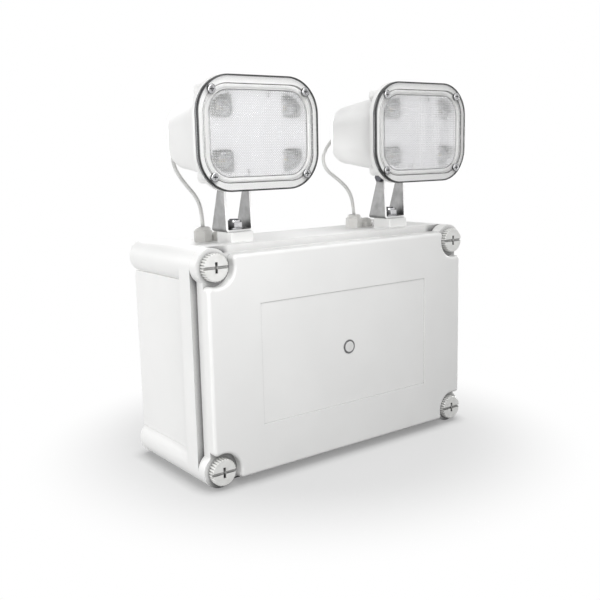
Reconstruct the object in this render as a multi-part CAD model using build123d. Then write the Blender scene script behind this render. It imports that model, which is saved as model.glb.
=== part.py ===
from build123d import *
import math
import os

# Twin-head emergency light, millimetres.
# X runs to the right, Y runs into the wall and Z runs up. The origin is the middle of
# the four wall fixing holes, on the back face. A depth is a distance out from the wall.

# Enclosure
box_width = 300.0
box_height = 200.0
box_depth = 125.0
lid_depth = 18.0
post_radius = 15.0
panel_inset = 4.5
panel_wall = 3.2
groove_inset = 8.0
groove_gap = 2.0
band_depth = 17.5
back_wall = 4.0
rim_width = 14.5
rim_depth = 12.0
edge_round = 0.8

# Lid
ledge = 6.0
lid_wall = 3.5
boss_height = 10.0
boss_wall = 3.5
notch_gap = 1.0
notch_corner = 3.5
lid_edge = 3.0
foot_depth = 6.0
label_width = 190.0
label_height = 104.0
label_sink = 0.8
gasket_inset = 11.0
gasket_arc = 12.5
gasket_width = 3.0
gasket_height = 2.2
fit_gap = 0.15

# Quarter-turn lid screws
head_radius = 11.5
head_height = 7.0
flute_count = 28
flute_depth = 0.6
slot_width = 2.4
slot_depth = 1.8
cross_length = 9.0
cross_depth = 3.0
shank_radius = 4.0
turn_gap = 0.1
lug_length = 13.6
lug_width = 4.4
lug_height = 4.0
lug_gap = 0.3
roof_depth = 12.0
chamber_depth = 10.0

# Wall fixing and gear tray
fixing_pitch_x = 256.0
fixing_pitch_z = 120.0
fixing_radius = 2.75
fixing_boss_radius = 6.0
fixing_boss_height = 4.0
tray_width = 224.0
tray_height = 168.0
tray_sheet = 1.5
tray_lip = 6.0
tray_standoff = 6.0
tray_pitch_x = 204.0
tray_pitch_z = 150.0
tray_boss_radius = 5.0
tray_screw_radius = 1.5
tray_screw_head = 3.6
tray_screw_head_height = 2.4
tray_screw_length = 6.5
screw_gap = 0.1

# Test button
button_radius = 4.9
button_travel = 1.5
button_proud = 0.4
button_cap = 3.0
stem_radius = 2.0
bezel_radius = 6.2
bezel_flange = 0.6
bush_radius = 5.6
bush_depth = 12.2
spring_wire = 0.5
spring_turns = 4
button_nut_flats = 14.0
button_nut_height = 2.5
switch_size = 14.0
switch_height = 10.0

# Battery and its strap
battery_width = 151.0
battery_tall = 65.0
battery_depth = 94.0
battery_z = -40.0
battery_round = 2.0
battery_lid = 6.0
lid_groove = 0.8
blade_sheet = 0.8
blade_width = 6.3
blade_inset = 12.0
strap_width = 24.0
strap_sheet = 1.5
strap_foot = 10.0
strap_x = 32.0
strap_gap = 0.2

# Control gear
board_width = 112.0
board_height = 66.0
board_sheet = 1.6
board_x = -46.0
board_z = 42.0
pillar_radius = 3.0
pillar_height = 8.0
pillar_edge = 5.0
transformer_width = 66.0
transformer_height = 55.0
transformer_stack = 23.0
transformer_x = 64.0
transformer_z = 44.0
coil_overhang = 9.0

# Lamp heads: place and aim
head_inset = 60.0
head_lift = 88.5
pivot_drop = 40.8
pan_setback = 26.0
pivot_setback = 23.5
lens_proud = 1.5

# Bracket, its block and bolts
block_width = 22.5
block_front = 13.0
block_back = 10.4
block_height = 12.5
block_round = 1.2
bracket_width = 27.0
bracket_sheet = 2.0
bracket_bend = 3.0
bracket_front = 9.0
bracket_back = 15.0
arm_radius = 4.2
pan_bolt_radius = 4.0
pan_head_flats = 13.0
pan_head_height = 5.3
pan_pad = 3.0
washer_radius = 8.0
washer_height = 1.2
pan_nut_height = 6.5
bolt_end = 0.8
pivot_bolt_radius = 2.5
pivot_flats = 8.0
pivot_head_height = 3.5
pivot_nut_height = 5.0
pivot_collar = 1.4
pan_collar = 1.8
collar_step = 0.3
hinge_gap = 0.05
lug_side_gap = 0.3
lug_root = 8.0
lug_sunk = 5.8

# Cable entries on top of the box
entry_depth = 28.0
entry_radius = 5.9
entry_reach = 5.0
gland_flats = 15.0
gland_turn = 12.0
locknut_turn = 30.0
gland_base = 4.2
gland_nut_height = 9.2
gland_neck_radius = 5.4
gland_neck = 4.0
gland_dome = 3.6
gland_bore = 2.5
plug_radius = 7.5
plug_rim = 3.0
plug_height = 9.0
plug_offset = 16.0
locknut_height = 4.0
lead_diameter = 3.6
lead_gap = 0.2

# Lamp head mouldings
lens_width = 116.0
lens_height = 90.0
lens_round = 30.0
cover_depth = 3.5
cover_round = 1.4
window_width = 103.0
window_height = 76.0
window_round = 22.0
window_sink = 1.2
pocket_width = 93.0
pocket_height = 67.0
pocket_round = 18.0
pocket_depth = 0.8
seal_depth = 1.0
seal_width = 4.0
seal_margin = 1.0
cover_hole_gap = 0.3
screw_recess_gap = 0.6
flange_depth = 4.0
mouth_width = 98.0
mouth_height = 68.0
mouth_round = 22.0
shell_width = 102.0
shell_height = 72.0
shell_round = 24.0
shell_taper_x = 0.237
shell_taper_z = 0.147
shell_length = 88.5
shell_wall = 3.0
shell_back_round = 15.0
lens_screw_x = 44.5
lens_screw_z = 33.0
lens_screw_radius = 1.7
lens_screw_head = 3.5
lens_screw_head_height = 2.2
lens_screw_length = 14.0
lens_drive = 4.2
lens_drive_width = 0.9
lens_drive_depth = 1.1
lens_boss_radius = 5.0
lens_boss_depth = 10.0
reflector_sheet = 2.5
reflector_gap = 0.3
cup_size = 20.0
cup_round = 5.0
cup_x = 34.0
cup_z = 22.0
cup_wall = 1.2
cup_depth = 5.0
peg_x = 10.5
peg_z = 30.2
peg_radius = 2.4
peg_sink = 1.2
led_x = 31.0
led_z = 20.3
led_size = 3.4
led_height = 1.0
led_board_width = 88.0
led_board_height = 58.0
led_board_round = 14.0
led_board_sheet = 1.6
optic_radius = 6.4
optic_height = 8.0
grommet_lift = 3.0
grommet_radius = 6.5
grommet_neck = 4.4
grommet_lip = 2.0
grommet_gap = 0.1

# Worked out from the sizes above
seam = box_depth - lid_depth
post_x = box_width / 2 - post_radius
post_z = box_height / 2 - post_radius
post_places = [(-post_x, post_z), (post_x, post_z), (-post_x, -post_z), (post_x, -post_z)]
panel_x = box_width / 2 - panel_inset
panel_z = box_height / 2 - panel_inset
post_reach = math.sqrt(post_radius**2 - (post_radius - panel_inset) ** 2)
panel_half_x = post_x - post_reach - groove_gap
panel_half_z = post_z - post_reach - groove_gap
lid_width = box_width - 2 * ledge
lid_height = box_height - 2 * ledge
boss_face = seam + boss_height
tray_face = back_wall + tray_standoff
tray_top = tray_face + tray_sheet
chamber_radius = math.hypot(lug_length, lug_width) / 2 + lug_gap
head_x = box_width / 2 - head_inset
pan_depth = seam - pan_setback
pivot_depth = seam - pivot_setback
lens_front = box_depth + lens_proud
head_z = box_height / 2 + head_lift
pivot_z = head_z - pivot_drop
bracket_floor = panel_z + block_height
plate_back = lens_front - cover_depth
flange_face = plate_back - seal_depth
flange_back = flange_face - flange_depth
shell_back = flange_back - shell_length
reflector_face = flange_back + reflector_sheet
board_face = flange_back - cup_depth
top_pad = panel_z - panel_wall - pan_pad
label_floor = box_depth - label_sink


def slab(sketch, back, front):
    """Extrude a sketch drawn in X and Z between two depths out from the wall."""
    plane = Plane(origin=(0, -back, 0), x_dir=(1, 0, 0), z_dir=(0, -1, 0))
    return extrude(plane * sketch, amount=front - back)


def rod(radius, x, z, back, front):
    return slab(Pos(x, z) * Circle(radius), back, front)


def upright(sketch, x, depth, low, high):
    """Extrude a sketch drawn in X and Y from height low to height high."""
    return extrude(Pos(x, -depth, low) * sketch, amount=high - low)


def crosswise(radius, x_low, x_high, depth, z):
    """A round bar along X."""
    plane = Plane(origin=(x_low, -depth, z), x_dir=(0, 1, 0), z_dir=(1, 0, 0))
    return extrude(plane * Circle(radius), amount=x_high - x_low)


def hexagon(flats, turn=0):
    return RegularPolygon(flats / 2, 6, major_radius=False, rotation=turn)


def discs(radius):
    return Sketch() + [Pos(x, z) * Circle(radius) for x, z in post_places]


# Enclosure
def base_box():
    skin = Rectangle(box_width - 2 * groove_inset, box_height - 2 * groove_inset)
    skin += Rectangle(2 * panel_x, 2 * panel_half_z)
    skin += Rectangle(2 * panel_half_x, 2 * panel_z)
    skin += discs(post_radius)
    band = slab(RectangleRounded(box_width, box_height, post_radius), seam - band_depth, seam)
    body = slab(skin, 0, seam) + band

    # The inner wall follows the sunk panels, and the rim is thick enough for the gasket
    inner_x = box_width / 2 - groove_inset - panel_wall
    inner_z = box_height / 2 - groove_inset - panel_wall
    hollow = Rectangle(2 * inner_x, 2 * inner_z)
    hollow += Rectangle(2 * (panel_x - panel_wall), 2 * (panel_half_z - panel_wall))
    hollow += Rectangle(2 * (panel_half_x - panel_wall), 2 * (panel_z - panel_wall))
    hollow -= discs(post_radius)
    mouth = Rectangle(box_width - 2 * rim_width, box_height - 2 * rim_width) - discs(post_radius)
    body -= slab(hollow, back_wall, seam - rim_depth)
    body -= slab(mouth, seam - rim_depth, seam)

    # Bosses for the wall fixings and the gear tray
    for x in (-fixing_pitch_x / 2, fixing_pitch_x / 2):
        for z in (-fixing_pitch_z / 2, fixing_pitch_z / 2):
            body += rod(fixing_boss_radius, x, z, back_wall, back_wall + fixing_boss_height)
            body -= rod(fixing_radius, x, z, 0, back_wall + fixing_boss_height)
    for x in (-tray_pitch_x / 2, tray_pitch_x / 2):
        for z in (-tray_pitch_z / 2, tray_pitch_z / 2):
            body += rod(tray_boss_radius, x, z, back_wall, tray_face)
            body -= rod(tray_screw_radius + screw_gap, x, z, back_wall, tray_face)

    # A thick pad under each bracket, then the holes through the top
    for side in (-1, 1):
        pad = Rectangle(bracket_width, bracket_front + bracket_back)
        body += upright(pad, side * head_x, pan_depth, top_pad, panel_z)
        pan_hole = Circle(pan_bolt_radius + screw_gap)
        body -= upright(pan_hole, side * head_x, pan_depth, top_pad, box_height / 2)
        for x in (side * head_x, side * head_x + plug_offset):
            entry = Circle(entry_radius + screw_gap)
            body -= upright(entry, x, entry_depth, panel_z - panel_wall, panel_z)

    # Each post takes its screw's lugs through a slot into a round chamber behind it
    roof = seam - roof_depth
    for x, z in post_places:
        keyhole = Circle(shank_radius + turn_gap) + Rectangle(lug_length + 0.8, lug_width + 0.8)
        body -= slab(Pos(x, z) * keyhole, roof, seam)
        body -= rod(chamber_radius, x, z, roof - chamber_depth, roof)
    return body


def gasket_ring(grow):
    outer = Rectangle(
        box_width - 2 * gasket_inset + gasket_width + 2 * grow,
        box_height - 2 * gasket_inset + gasket_width + 2 * grow,
    )
    outer -= discs(gasket_arc - gasket_width / 2 - grow)
    inner = Rectangle(
        box_width - 2 * gasket_inset - gasket_width - 2 * grow,
        box_height - 2 * gasket_inset - gasket_width - 2 * grow,
    )
    inner -= discs(gasket_arc + gasket_width / 2 + grow)
    return outer - inner


def lid_gasket():
    return slab(gasket_ring(0), seam, seam + gasket_height)


def lid():
    foot = Rectangle(lid_width, lid_height) + discs(post_radius)
    face = Rectangle(lid_width, lid_height) - discs(post_radius + notch_gap)
    face = fillet(face.vertices(), notch_corner)
    shell = slab(face, boss_face, box_depth)
    rim = shell.faces().sort_by(Axis.Y)[0].outer_wire().edges()
    shell = fillet(rim, lid_edge) + slab(foot, seam, boss_face)

    # Hollow inside, with a foot that holds the gasket and a boss round each screw
    low = Rectangle(box_width - 2 * rim_width, box_height - 2 * rim_width)
    low -= discs(gasket_arc + gasket_width / 2 + boss_wall)
    high = Rectangle(lid_width - 2 * lid_wall, lid_height - 2 * lid_wall)
    high -= discs(post_radius + notch_gap + boss_wall)
    shell -= slab(low, seam, seam + foot_depth)
    shell -= slab(high, seam + foot_depth, box_depth - lid_wall)
    shell -= slab(gasket_ring(fit_gap), seam, seam + gasket_height)

    for x, z in post_places:
        keyhole = Circle(shank_radius + turn_gap) + Rectangle(lug_length + 0.8, lug_width + 0.8)
        shell -= slab(Pos(x, z) * keyhole, seam, boss_face)
    shell -= slab(Rectangle(label_width, label_height), label_floor, box_depth)
    shell -= rod(bush_radius + fit_gap, 0, 0, box_depth - lid_wall, box_depth)
    return shell


def lid_screw(x, z):
    front = boss_face + head_height
    head = rod(head_radius, 0, 0, boss_face, front)
    head = chamfer(head.faces().sort_by(Axis.Y)[0].edges(), edge_round)
    flute = Pos(head_radius, 0) * Rectangle(2 * flute_depth, 2 * flute_depth, rotation=45)
    flutes = Sketch() + [Rot(0, 0, n * 360 / flute_count) * flute for n in range(flute_count)]
    head -= slab(flutes, boss_face + edge_round, front)
    head -= slab(Rectangle(2 * head_radius, slot_width), front - slot_depth, front)
    head -= slab(Rectangle(slot_width, cross_length), front - cross_depth, front)
    lug_top = seam - roof_depth - lug_gap
    lug_low = lug_top - lug_height
    shank = rod(shank_radius, 0, 0, lug_low - 1, boss_face)
    lugs = slab(Rectangle(lug_width, lug_length), lug_low, lug_top)
    return Pos(x, 0, z) * (head + shank + lugs)


# Test button in the middle of the lid
bush_low = label_floor - bush_depth
cap_front = label_floor + bezel_flange + button_proud
cap_back = cap_front - button_cap
spring_seat = cap_back - 5.0


def button_bezel():
    ring = rod(bezel_radius, 0, 0, label_floor, label_floor + bezel_flange)
    bush = rod(bush_radius, 0, 0, bush_low, label_floor)
    bore = rod(button_radius + hinge_gap, 0, 0, spring_seat, label_floor + bezel_flange)
    guide = rod(stem_radius + hinge_gap, 0, 0, bush_low, spring_seat)
    return ring + bush - bore - guide


def test_button():
    cap = rod(button_radius, 0, 0, cap_back, cap_front)
    cap = fillet(cap.faces().sort_by(Axis.Y)[0].edges(), 0.5)
    return cap + rod(stem_radius, 0, 0, bush_low - 4, cap_back)


def button_nut():
    back = box_depth - lid_wall - button_nut_height
    ring = hexagon(button_nut_flats) - Circle(bush_radius + fit_gap)
    return slab(ring, back, box_depth - lid_wall)


def button_spring():
    height = cap_back - spring_seat - spring_wire
    radius = (stem_radius + button_radius) / 2
    helix = Helix(height / spring_turns, height, radius)
    wire = Plane(origin=helix @ 0, z_dir=helix % 0) * Circle(spring_wire / 2)
    coil = sweep(wire, path=helix)
    return Pos(0, -spring_seat - spring_wire / 2 - 0.02, 0) * (Rot(90, 0, 0) * coil)


def test_switch():
    case = slab(Rectangle(switch_size, switch_size), bush_low - switch_height, bush_low)
    case -= rod(stem_radius + 0.3, 0, 0, bush_low - 4 - button_travel - 0.5, bush_low)
    blade = Rectangle(4.0, 0.8)
    for z in (-3.5, 3.5):
        case += slab(Pos(0, z) * blade, bush_low - switch_height - 5, bush_low - switch_height)
    return case


# Gear tray and what stands on it
strap_high = battery_z + battery_tall / 2 + strap_gap
strap_low = battery_z - battery_tall / 2 - strap_gap
strap_holes = [strap_high + strap_sheet + strap_foot / 2, strap_low - strap_sheet - strap_foot / 2]
tray_places = [(x * tray_pitch_x / 2, z * tray_pitch_z / 2) for x in (-1, 1) for z in (-1, 1)]
pillar_places = [
    (
        board_x + sx * (board_width / 2 - pillar_edge),
        board_z + sz * (board_height / 2 - pillar_edge),
    )
    for sx in (-1, 1)
    for sz in (-1, 1)
]
board_back = tray_top + pillar_height
board_top = board_back + board_sheet


def gear_tray():
    tray = slab(Rectangle(tray_width, tray_height), tray_face, tray_top)
    for side in (-1, 1):
        lip = Pos(side * (tray_width - tray_sheet) / 2, 0) * Rectangle(tray_sheet, tray_height)
        tray += slab(lip, tray_top, tray_top + tray_lip)
    for x, z in tray_places:
        tray -= rod(tray_screw_radius + screw_gap, x, z, tray_face, tray_top)
    for z in strap_holes:
        tray -= rod(tray_screw_radius + screw_gap, strap_x, z, tray_face, tray_top)
    for x, z in pillar_places:
        tray -= rod(tray_screw_radius, x, z, tray_face, tray_top)
    return tray


def pan_screw(x, z, seat, length):
    shank = rod(tray_screw_radius, x, z, seat - length, seat)
    head = rod(tray_screw_head, x, z, seat, seat + tray_screw_head_height)
    head = fillet(head.faces().sort_by(Axis.Y)[0].edges(), 0.8)
    drive = Pos(x, z) * (Rectangle(4, 0.8) + Rectangle(0.8, 4))
    face = seat + tray_screw_head_height
    return shank + head - slab(drive, face - 1, face)


def tray_screws():
    screws = [pan_screw(x, z, tray_top, tray_screw_length) for x, z in tray_places]
    strap_seat = tray_top + strap_sheet
    screws += [pan_screw(strap_x, z, strap_seat, strap_seat - tray_face) for z in strap_holes]
    return screws


def battery_pack():
    front = tray_top + battery_depth
    outline = Rectangle(battery_width, battery_tall)
    case = slab(Pos(0, battery_z) * outline, tray_top, front)
    case = fillet(case.edges().filter_by(Axis.Y), battery_round)
    groove = outline - Rectangle(battery_width - 2 * lid_groove, battery_tall - 2 * lid_groove)
    groove_front = front - battery_lid
    case -= slab(Pos(0, battery_z) * groove, groove_front - 1.5 * lid_groove, groove_front)
    for side in (-1, 1):
        blade = Rectangle(blade_sheet, blade_width)
        blade = Pos(side * (battery_width / 2 - blade_inset), battery_z) * blade
        case += slab(blade, front, front + blade_width)
    return case


def battery_strap():
    front = tray_top + battery_depth + strap_gap
    outer = Rectangle(strap_width, strap_high - strap_low + 2 * strap_sheet)
    inner = Rectangle(strap_width, strap_high - strap_low)
    middle = (strap_high + strap_low) / 2
    strap = slab(Pos(strap_x, middle) * outer, tray_top, front + strap_sheet)
    strap -= slab(Pos(strap_x, middle) * inner, tray_top, front)
    for z in strap_holes:
        foot = slab(Pos(strap_x, z) * Rectangle(strap_width, strap_foot), tray_top, tray_top + strap_sheet)
        strap += foot
        strap -= rod(tray_screw_radius + screw_gap, strap_x, z, tray_top, tray_top + strap_sheet)
    return strap


def control_board():
    board = slab(Pos(board_x, board_z) * Rectangle(board_width, board_height), board_back, board_top)
    for x, z in pillar_places:
        board -= rod(tray_screw_radius, x, z, board_back, board_top)
    return board


def board_pillars():
    pillars = []
    for x, z in pillar_places:
        pillar = rod(pillar_radius, x, z, tray_top, board_back)
        pillar += rod(tray_screw_radius - 0.1, x, z, tray_face, tray_top)
        pillar += rod(tray_screw_radius - 0.1, x, z, board_back, board_top + 1)
        pillars.append(pillar)
    return pillars


def relay():
    case = slab(Pos(board_x - 30, board_z + 12) * Rectangle(19, 15.5), board_top, board_top + 15)
    return chamfer(case.faces().sort_by(Axis.Y)[0].edges(), 0.6)


def capacitors():
    cans = []
    for dx in (-4, 10, 24):
        can = rod(5.5, board_x + dx, board_z - 14, board_top, board_top + 20)
        cans.append(fillet(can.faces().sort_by(Axis.Y)[0].edges(), 0.6))
    return cans


def terminal_block():
    pitch = 5.0
    ways = 8
    x, z = board_x + 14, board_z + 24
    block = slab(Pos(x, z) * Rectangle(ways * pitch, 10), board_top, board_top + 12)
    for n in range(ways):
        wx = x + (n - (ways - 1) / 2) * pitch
        block -= rod(1.7, wx, z, board_top + 8, board_top + 12)
        entry = upright(Rectangle(3.2, 3.2), wx, board_top + 3.2, z + 1, z + 5)
        block -= entry
    return block


def fuse_holder():
    x, z = board_x - 32, board_z - 16
    base = slab(Pos(x, z) * Rectangle(24, 9), board_top, board_top + 3)
    for side in (-1, 1):
        post = slab(Pos(x + side * 9, z) * Rectangle(3, 8), board_top + 3, board_top + 9)
        base += post
    return base + crosswise(2.6, x - 10, x + 10, board_top + 6.5, z)


def transformer():
    at = Pos(transformer_x, transformer_z)
    core_back = tray_top + coil_overhang
    core_front = core_back + transformer_stack
    core = slab(at * Rectangle(transformer_width, transformer_height), core_back, core_front)
    limb = transformer_width / 6
    coil = Rectangle(4 * limb - 1, transformer_height - 2 * limb - 1)
    coil = fillet(coil.vertices(), 3)
    winding = slab(at * coil, tray_top + 1.5, core_front + coil_overhang - 1.5)
    frame = Rectangle(transformer_width, 12)
    feet = slab(at * frame, tray_top, core_back)
    return core + winding + feet


# Bracket fixings, in the enclosure's body
def pan_bolts():
    bolts = []
    head_low = top_pad - pan_head_height
    end = bracket_floor + bracket_sheet + washer_height + pan_nut_height + bolt_end
    for side in (-1, 1):
        head = upright(hexagon(pan_head_flats), side * head_x, pan_depth, head_low, top_pad)
        shank = upright(Circle(pan_bolt_radius), side * head_x, pan_depth, top_pad, end)
        bolts.append(head + shank)
    return bolts


def pan_washers():
    low = bracket_floor + bracket_sheet
    ring = Circle(washer_radius) - Circle(pan_bolt_radius + hinge_gap)
    return [upright(ring, side * head_x, pan_depth, low, low + washer_height) for side in (-1, 1)]


def pan_nuts():
    low = bracket_floor + bracket_sheet + washer_height
    shoulder = low + pan_nut_height - pan_collar
    high = low + pan_nut_height
    nuts = []
    for side in (-1, 1):
        x = side * head_x
        nut = upright(hexagon(pan_head_flats), x, pan_depth, low, shoulder)
        nut += upright(Circle(pan_head_flats / 2 - collar_step), x, pan_depth, shoulder, high)
        hole = Circle(pan_bolt_radius + hinge_gap)
        nuts.append(nut - upright(hole, x, pan_depth, low, high))
    return nuts


def spacer(x):
    outline = Rectangle(block_width, block_front + block_back)
    middle = pan_depth + (block_front - block_back) / 2
    block = upright(outline, x, middle, panel_z, bracket_floor)
    block = fillet(block.edges().filter_by(Axis.Z), block_round)
    # Its front steps over the band round the rim
    step = Rectangle(block_width, band_depth)
    block -= upright(step, x, seam - band_depth / 2, panel_z, box_height / 2)
    hole = Circle(pan_bolt_radius + screw_gap)
    return block - upright(hole, x, pan_depth, panel_z, bracket_floor)


# Cable entries
def gland_body(x):
    body = upright(hexagon(gland_flats, gland_turn), x, entry_depth, panel_z, panel_z + gland_base)
    low = panel_z - panel_wall - entry_reach
    body += upright(Circle(entry_radius), x, entry_depth, low, panel_z)
    neck_top = panel_z + gland_base + gland_neck
    body += upright(Circle(gland_neck_radius), x, entry_depth, panel_z + gland_base, neck_top)
    return body - upright(Circle(gland_bore), x, entry_depth, low, neck_top)


def gland_nut(x):
    low = panel_z + gland_base
    high = low + gland_nut_height
    crown = gland_flats / 2
    shoulder = high - gland_dome
    prism = extrude(Pos(0, 0, low) * hexagon(gland_flats, gland_turn), amount=gland_nut_height)
    with BuildSketch(Plane.XZ) as half:
        with BuildLine():
            Polyline((0, low), (2 * crown, low), (2 * crown, shoulder), (crown, shoulder))
            RadiusArc((crown, shoulder), (crown - gland_dome, high), -gland_dome)
            Polyline((crown - gland_dome, high), (0, high), (0, low))
        make_face()
    nut = prism & revolve(half.sketch, Axis.Z)
    recess = Circle(gland_neck_radius + fit_gap)
    nut -= extrude(Pos(0, 0, low) * recess, amount=gland_neck + fit_gap)
    nut -= extrude(Pos(0, 0, low) * Circle(lead_diameter / 2 + lead_gap), amount=gland_nut_height)
    return Pos(x, -entry_depth, 0) * nut


def blanking_plugs():
    plugs = []
    low = panel_z - panel_wall - entry_reach
    for side in (-1, 1):
        x = side * head_x + plug_offset
        cap = upright(Circle(plug_radius), x, entry_depth, panel_z, panel_z + plug_height)
        cap = fillet(cap.faces().sort_by(Axis.Z)[-1].edges(), plug_height - plug_rim)
        plugs.append(cap + upright(Circle(entry_radius), x, entry_depth, low, panel_z))
    return plugs


def entry_locknuts():
    high = panel_z - panel_wall
    ring = hexagon(gland_flats, locknut_turn) - Circle(entry_radius + fit_gap)
    nuts = []
    for side in (-1, 1):
        for x in (side * head_x, side * head_x + plug_offset):
            nuts.append(upright(ring, x, entry_depth, high - locknut_height, high))
    return nuts


# Bracket: one folded sheet, with arms that narrow to the pivot
def bracket(x):
    top = pivot_z + arm_radius
    half = bracket_width / 2
    fold = Rectangle(bracket_width, top - bracket_floor, align=(Align.CENTER, Align.MIN))
    fold = fillet(fold.vertices().sort_by(Axis.Y)[:2], bracket_bend)
    inner = Rectangle(bracket_width - 2 * bracket_sheet, top, align=(Align.CENTER, Align.MIN))
    inner = fillet(inner.vertices().sort_by(Axis.Y)[:2], bracket_bend - bracket_sheet)
    channel = Pos(x, bracket_floor) * (fold - Pos(0, bracket_sheet) * inner)
    sheet = slab(channel, pan_depth - bracket_back, pan_depth + bracket_front)
    foot = Line((-pan_depth - bracket_front, bracket_floor), (-pan_depth + bracket_back, bracket_floor))
    eye = Pos(-pivot_depth, pivot_z) * Circle(arm_radius)
    outline = make_hull([foot] + list(eye.edges()))
    side_view = Plane(origin=(x - half, 0, 0), x_dir=(0, 1, 0), z_dir=(1, 0, 0))
    sheet &= extrude(side_view * outline, amount=bracket_width)
    sheet -= crosswise(pivot_bolt_radius + hinge_gap, x - half, x + half, pivot_depth, pivot_z)
    hole = Circle(pan_bolt_radius + hinge_gap)
    return sheet - upright(hole, x, pan_depth, bracket_floor, bracket_floor + bracket_sheet)


def pivot_bolt(x):
    half = bracket_width / 2
    plane = Plane(origin=(x - half, -pivot_depth, pivot_z), x_dir=(0, 1, 0), z_dir=(-1, 0, 0))
    head = extrude(plane * hexagon(pivot_flats), amount=pivot_head_height)
    end = x + half + pivot_nut_height + bolt_end
    return head + crosswise(pivot_bolt_radius, x - half, end, pivot_depth, pivot_z)


def pivot_nut(x):
    seat = x + bracket_width / 2
    end = seat + pivot_nut_height
    plane = Plane(origin=(seat, -pivot_depth, pivot_z), x_dir=(0, 1, 0), z_dir=(1, 0, 0))
    nut = extrude(plane * hexagon(pivot_flats), amount=pivot_nut_height - pivot_collar)
    nut += crosswise(pivot_flats / 2 - collar_step, seat, end, pivot_depth, pivot_z)
    return nut - crosswise(pivot_bolt_radius + hinge_gap, seat, end, pivot_depth, pivot_z)


# Lamp head
def at_head(x, sketch):
    return Pos(x, head_z) * sketch


def head_corners(x, across, up):
    return [(x + sx * across, head_z + sz * up) for sx in (-1, 1) for sz in (-1, 1)]


def lens_screw_places(x):
    return head_corners(x, lens_screw_x, lens_screw_z)


def shell_section(depth, inset):
    run = flange_back - depth
    width = shell_width - shell_taper_x * 1.5 * run - 2 * inset
    height = shell_height - shell_taper_z * 1.5 * run - 2 * inset
    corner = (shell_round - inset) * height / (shell_height - 2 * inset)
    return RectangleRounded(width, height, corner)


def shell_form(x, inset, back, front, back_round):
    """A tapered, rounded tube between two depths, with its back edge rounded over."""
    profiles = []
    for depth in (front, back):
        plane = Plane(origin=(x, -depth, head_z), x_dir=(1, 0, 0), z_dir=(0, -1, 0))
        profiles.append(plane * shell_section(depth, inset))
    form = loft(profiles)
    return fillet(form.faces().sort_by(Axis.Y)[-1].edges(), back_round)


def head_housing(x):
    flange = at_head(x, RectangleRounded(lens_width, lens_height, lens_round))
    mouth = at_head(x, RectangleRounded(mouth_width, mouth_height, mouth_round))
    boss_back = flange_back - lens_boss_depth
    shell = shell_form(x, 0, shell_back, flange_back, shell_back_round)
    shell += slab(flange, flange_back, flange_face)
    for px, pz in lens_screw_places(x):
        shell += rod(lens_boss_radius, px, pz, boss_back, flange_back)

    # The pivot lug grows out of the underside and stops inside the wall
    lug_top = head_z - shell_height / 2 + lug_sunk
    width = bracket_width - 2 * bracket_sheet - 2 * lug_side_gap
    eye = Pos(-pivot_depth, pivot_z) * Circle(arm_radius)
    root = Line((-pivot_depth - lug_root, lug_top), (-pivot_depth + lug_root, lug_top))
    outline = make_hull([root] + list(eye.edges()))
    side_view = Plane(origin=(x - width / 2, 0, 0), x_dir=(0, 1, 0), z_dir=(1, 0, 0))
    shell += extrude(side_view * outline, amount=width)

    inside = shell_back + shell_wall
    shell -= shell_form(x, shell_wall, inside, flange_back, shell_back_round - shell_wall)
    shell -= slab(mouth, flange_back, flange_face)
    for px, pz in lens_screw_places(x):
        shell -= rod(lens_screw_radius + screw_gap, px, pz, boss_back, flange_face)
    shell -= crosswise(pivot_bolt_radius + hinge_gap, x - width / 2, x + width / 2, pivot_depth, pivot_z)
    return shell - rod(grommet_neck, x, head_z + grommet_lift, shell_back, inside)


def lens_gasket(x):
    grow = seal_margin + seal_width
    ring = RectangleRounded(mouth_width + 2 * grow, mouth_height + 2 * grow, mouth_round + grow)
    ring -= RectangleRounded(
        mouth_width + 2 * seal_margin,
        mouth_height + 2 * seal_margin,
        mouth_round + seal_margin,
    )
    seal = slab(at_head(x, ring), flange_face, plate_back)
    for px, pz in lens_screw_places(x):
        seal -= rod(lens_screw_radius + cover_hole_gap, px, pz, flange_face, plate_back)
    return seal


def lens_cover(x):
    plate = slab(at_head(x, RectangleRounded(lens_width, lens_height, lens_round)), plate_back, lens_front)
    plate = fillet(plate.faces().sort_by(Axis.Y)[0].edges(), cover_round)
    window = RectangleRounded(window_width, window_height, window_round)
    plate -= slab(at_head(x, window), lens_front - window_sink, lens_front)
    pocket = RectangleRounded(pocket_width, pocket_height, pocket_round)
    plate -= slab(at_head(x, pocket), plate_back, plate_back + pocket_depth)
    seat = lens_front - window_sink
    for px, pz in lens_screw_places(x):
        plate -= rod(lens_screw_head + screw_recess_gap, px, pz, seat, lens_front)
        plate -= rod(lens_screw_radius + cover_hole_gap, px, pz, plate_back, seat)
    return plate


def lens_screws(x):
    screws = []
    seat = lens_front - window_sink
    face = seat + lens_screw_head_height
    drive = Rectangle(lens_drive, lens_drive_width) + Rectangle(lens_drive_width, lens_drive)
    for px, pz in lens_screw_places(x):
        head = rod(lens_screw_head, px, pz, seat, face)
        head = fillet(head.faces().sort_by(Axis.Y)[0].edges(), lens_drive_width)
        head -= slab(Pos(px, pz) * drive, face - lens_drive_depth, face)
        screws.append(head + rod(lens_screw_radius, px, pz, seat - lens_screw_length, seat))
    return screws


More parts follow.
